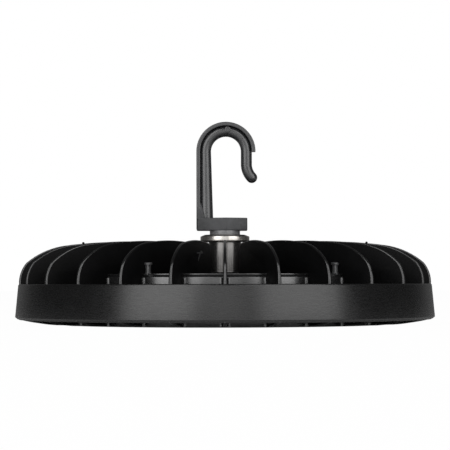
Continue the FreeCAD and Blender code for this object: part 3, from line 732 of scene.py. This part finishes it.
def hook_bar():
    """Round bar: a shank that widens to its foot, the bend, and a nose with a round tip."""
    points = hook_path()
    along = (points[-1] - points[-2]).normalized()
    widening = (SHANK_FOOT_R - BAR_R) / (EYE_Z - points[0].z)
    radii = [BAR_R + widening * max(EYE_Z - p.z, 0) if p.x < EYE_X else BAR_R for p in points]
    tip = points[-1]
    for k in range(1, 9):
        a = math.radians(90 * k / 8)
        points.append(tip + along * BAR_R * math.sin(a))
        radii.append(max(BAR_R * math.cos(a), 0.02 * MM))
    return bar("hook_bar", points, radii)


def hook_rail():
    """Flat outer rail: a rounded strip up the shank and over the bend, cut square at its end."""
    rail_in = RAIL_OUT - RAIL_T
    section = rounded([(rail_in, -RAIL_HALF), (RAIL_OUT, -RAIL_HALF), (RAIL_OUT, RAIL_HALF),
                       (rail_in, RAIL_HALF)], 0.7 * MM, 3)
    steps = 48
    stations = [(math.pi, z) for z in (BASE_BOTTOM + 1.4 * MM, EYE_Z - 20 * MM)]
    stations += [(math.pi - math.pi * k / steps, EYE_Z) for k in range(steps + 1)]
    bm = bmesh.new()
    shell(bm, [loop_of(bm, [(EYE_X + r * math.cos(a), y, z + r * math.sin(a)) for r, y in section])
               for a, z in stations])
    return add_object("hook_rail", bm, 40)


def hook_base():
    """Base block, widest under the eye, with its upper and lower rims rounded."""
    plan = rounded([
        (BASE_LEFT, -BASE_END_HALF, 1.6 * MM), (BASE_PEAK, -BASE_HALF, 0.8 * MM),
        (BASE_RIGHT, -BASE_END_HALF, 1.6 * MM), (BASE_RIGHT, BASE_END_HALF, 1.6 * MM),
        (BASE_PEAK, BASE_HALF, 0.8 * MM), (BASE_LEFT, BASE_END_HALF, 1.6 * MM)], 0, 3)
    bm = bmesh.new()
    low = loop_of(bm, [(x, y, BASE_BOTTOM) for x, y in plan])
    high = loop_of(bm, [(x, y, BASE_TOP + BASE_CROWN) for x, y in plan])
    bm.faces.new(low)
    bm.faces.new(high)
    for i, corner in enumerate(low):
        j = (i + 1) % len(low)
        bm.faces.new((corner, low[j], high[j], high[i]))
    rims = [e for e in bm.edges if abs(e.verts[0].co.z - e.verts[1].co.z) < 1e-6]
    bmesh.ops.bevel(bm, geom=rims, offset=0.9 * MM, segments=3, profile=0.6, affect="EDGES")
    return add_object("hook_base", bm, 40)


def hook_foot():
    """The rail's foot, which spreads towards the base's front and back."""
    x0 = EYE_X - RAIL_OUT + 0.1 * MM
    x1 = EYE_X - EYE_R - BAR_R - 0.5 * MM
    bm = bmesh.new()
    loops = []
    for spread, height in (mm(-0.4, 12.0), mm(0.6, 5.0), mm(1.8, -1.0)):
        half = RAIL_HALF + spread
        inner = x1 - 0.25 * height
        corners = ((x0, -half), (inner, -0.9 * half), (inner, 0.9 * half), (x0, half))
        loops.append(loop_of(bm, [(x, y, BASE_TOP + height) for x, y in corners]))
    shell(bm, loops)
    bmesh.ops.bevel(bm, geom=list(bm.edges), offset=0.4 * MM, segments=2, affect="EDGES")
    return add_object("hook_foot", bm, 40)


def hook_pad():
    """Small round witness mark on the front of the bend."""
    centre = Vector((EYE_X + 1.4 * MM, 0, EYE_Z + EYE_R + 1.25 * BAR_R))
    segments = 32
    bm = bmesh.new()
    loops = []
    for radius, y in PAD_RINGS:
        around = [polar(radius * MM, FULL_TURN * k / segments) for k in range(segments)]
        loops.append(loop_of(bm, [centre + Vector((x, y * MM, z)) for x, z in around]))
    shell(bm, loops)
    return add_object("hook_pad", bm, 40)


def hook():
    casting = join("hook_casting", [hook_bar(), hook_rail(), hook_pad()])
    dress(casting, HOOK_COAT, "hanging_hook")
    dress(join("hook_base_casting", [hook_base(), hook_foot()]), BASE_COAT, "hanging_hook")


def collar():
    low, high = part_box("hook_collar")
    outline = rounded([(BORE_R, low.z), (high.x, low.z, 0.3 * MM), (high.x, high.z, BREAK),
                       (BORE_R, high.z)], 0)
    return dress(lathe("collar_ring", outline, 128), COLLAR_STEEL, "hook_collar")


def flange():
    low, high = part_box("hub_flange")
    outline = rounded([
        (BORE_R, low.z), (CONE_R, low.z, 0.6 * MM), (high.x, low.z + CONE_FOOT_H, 0.8 * MM),
        (high.x, high.z - CONE_TOP_H, 1.0 * MM), (CONE_R, high.z, 0.6 * MM),
        (BORE_R, high.z)], 0, 6)
    return dress(lathe("flange_ring", outline, 192), NICKEL, "hub_flange")


# ---- studio ----------------------------------------------------------------------------
def world():
    """White to the camera everywhere; in reflections pale only behind the object, dim elsewhere."""
    scene_world = bpy.data.worlds.new("studio")
    bpy.context.scene.world = scene_world
    scene_world.use_nodes = True
    tree = scene_world.node_tree
    tree.nodes.clear()
    white = node(tree, "ShaderNodeBackground", {"Color": WHITE, "Strength": 1.0})
    dim = node(tree, "ShaderNodeBackground", {"Color": WHITE, "Strength": AMBIENT})
    path = tree.nodes.new("ShaderNodeLightPath")
    behind = span(tree, axis(tree, "Generated", "Y"), BACKDROP_EDGE, BACKDROP_FULL)
    shiny = combine(tree, "MAXIMUM", path.outputs["Is Glossy Ray"],
                    path.outputs["Is Transmission Ray"])
    backdrop = combine(tree, "MULTIPLY", shiny, combine(tree, "MULTIPLY", behind, BACKDROP))
    share = combine(tree, "MAXIMUM", path.outputs["Is Camera Ray"], backdrop)
    node(tree, "ShaderNodeOutputWorld", {
        "Surface": mix(tree, share, dim.outputs[0], white.outputs[0])})


def floor():
    """Pale floor, seen mostly as its own white; the rest takes the object's shadow."""
    bpy.ops.mesh.primitive_plane_add(size=FLOOR_SIZE, location=(0, 0, FLOOR_Z))
    plane = bpy.context.object
    plane.name = "floor"
    material, tree, shader = new_material("floor_white")
    shader.inputs["Base Color"].default_value = FLOOR_GREY
    shader.inputs["Roughness"].default_value = 0.9
    shader.inputs["Specular IOR Level"].default_value = 0.0
    glow = node(tree, "ShaderNodeEmission", {"Color": WHITE, "Strength": 1.0})
    path = tree.nodes.new("ShaderNodeLightPath")
    seen = combine(tree, "MULTIPLY", path.outputs["Is Camera Ray"], FLOOR_WHITE)
    ahead = span(tree, axis(tree, "Object", "Y"), SHINE_START, SHINE_FULL, 0.0, FLOOR_SHINE)
    shine = combine(tree, "MULTIPLY", path.outputs["Is Glossy Ray"], ahead)
    share = combine(tree, "MAXIMUM", seen, shine)
    surface = mix(tree, share, shader.outputs[0], glow.outputs[0])
    tree.links.new(surface, tree.nodes["Material Output"].inputs["Surface"])
    plane.data.materials.append(material)


def softbox(name, azimuth, elevation, distance, width, height, power):
    """Rectangular softbox; azimuth 0 is at the camera's side and positive to its right."""
    a, e = math.radians(azimuth), math.radians(elevation)
    data = bpy.data.lights.new(name, "AREA")
    data.shape = "RECTANGLE"
    data.size = width
    data.size_y = height
    data.energy = power
    lamp = bpy.data.objects.new(name, data)
    bpy.context.scene.collection.objects.link(lamp)
    away = Vector((math.sin(a) * math.cos(e), -math.cos(a) * math.cos(e), math.sin(e)))
    lamp.location = LAMP_AIM + distance * away
    lamp.rotation_euler = (-away).to_track_quat("-Z", "Y").to_euler()


def camera():
    data = bpy.data.cameras.new("camera")
    data.sensor_width = SENSOR_MM
    data.lens = SENSOR_MM * CAMERA_DISTANCE / VIEW_WIDTH
    obj = bpy.data.objects.new("camera", data)
    bpy.context.scene.collection.objects.link(obj)
    obj.location = (0.0, -CAMERA_DISTANCE, CAMERA_Z)
    tilt = math.atan2(VIEW_CENTRE_Z - CAMERA_Z, CAMERA_DISTANCE)
    obj.rotation_mode = "XYZ"
    obj.rotation_euler = (math.pi / 2 + tilt, CAMERA_ROLL, 0)
    bpy.context.scene.camera = obj


def studio():
    bpy.context.scene.view_settings.view_transform = "Standard"
    world()
    floor()
    for box in SOFTBOXES:
        softbox(*box)
    camera()


studio()
finish_cad_nodes()
for build in (skirt, drum, boss, fins, root_flares, posts, pips, tick, hook, collar, flange):
    build()
